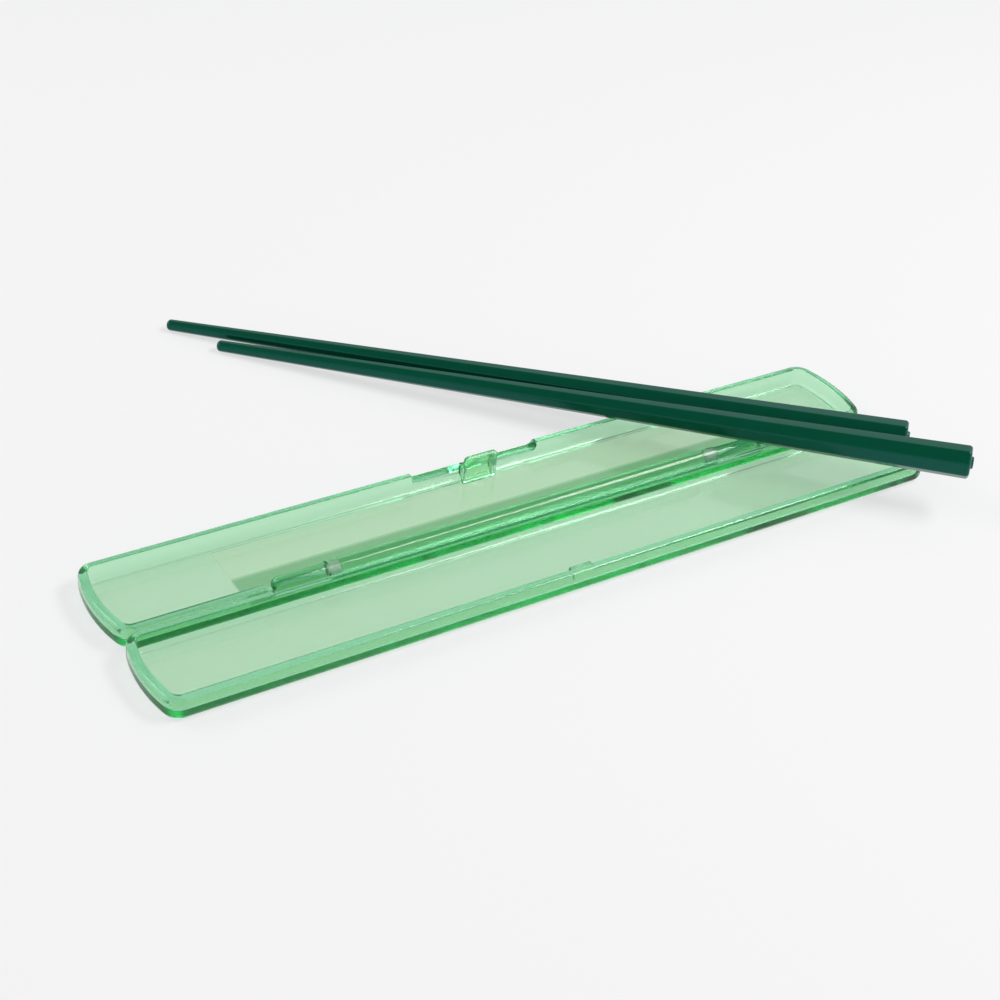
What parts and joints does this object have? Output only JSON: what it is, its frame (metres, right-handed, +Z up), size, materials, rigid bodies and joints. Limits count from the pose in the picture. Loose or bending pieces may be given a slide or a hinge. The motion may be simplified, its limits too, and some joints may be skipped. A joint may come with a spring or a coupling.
{
  "type": "chopstick case",
  "caption": "Slim hinged travel case in translucent green plastic, lying open, with a latch tongue, a finger notch and tapered octagonal chopsticks leaning on its rim.",
  "frame": {"origin": "middle of the base tray's underside", "axes": "+X along the case, +Z up, the lid lies open on the -Y side"},
  "size_m": [0.24, 0.1843, 0.0214],
  "materials": {
    "translucent_plastic": "glossy, translucent light green",
    "green_chopstick": "glossy dark green"
  },
  "bodies": {
    "base": {"base_tray": "translucent_plastic"},
    "lid": {"lid_tray": "translucent_plastic"},
    "front_stick": {"front_chopstick": "green_chopstick"},
    "rear_stick": {"rear_chopstick": "green_chopstick"}
  },
  "joints": [
    {"name": "lid_hinge", "type": "hinge", "parent": "base", "child": "lid", "pos_m": [0, -0.0144, 0.00666], "axis": [-1, 0, 0], "range_deg": [0, 180]},
    {"name": "front_stick_lift", "type": "slide", "parent": "base", "child": "front_stick", "axis": [0, 0, 1], "range_m": [0, 0.095]},
    {"name": "rear_stick_lift", "type": "slide", "parent": "base", "child": "rear_stick", "axis": [0, 0, 1], "range_m": [0, 0.095]}
  ],
  "couplings": [
    {"joint": "front_stick_lift", "follows": "lid_hinge", "m_per_rad": 0.03},
    {"joint": "rear_stick_lift", "follows": "lid_hinge", "m_per_rad": 0.03}
  ]
}
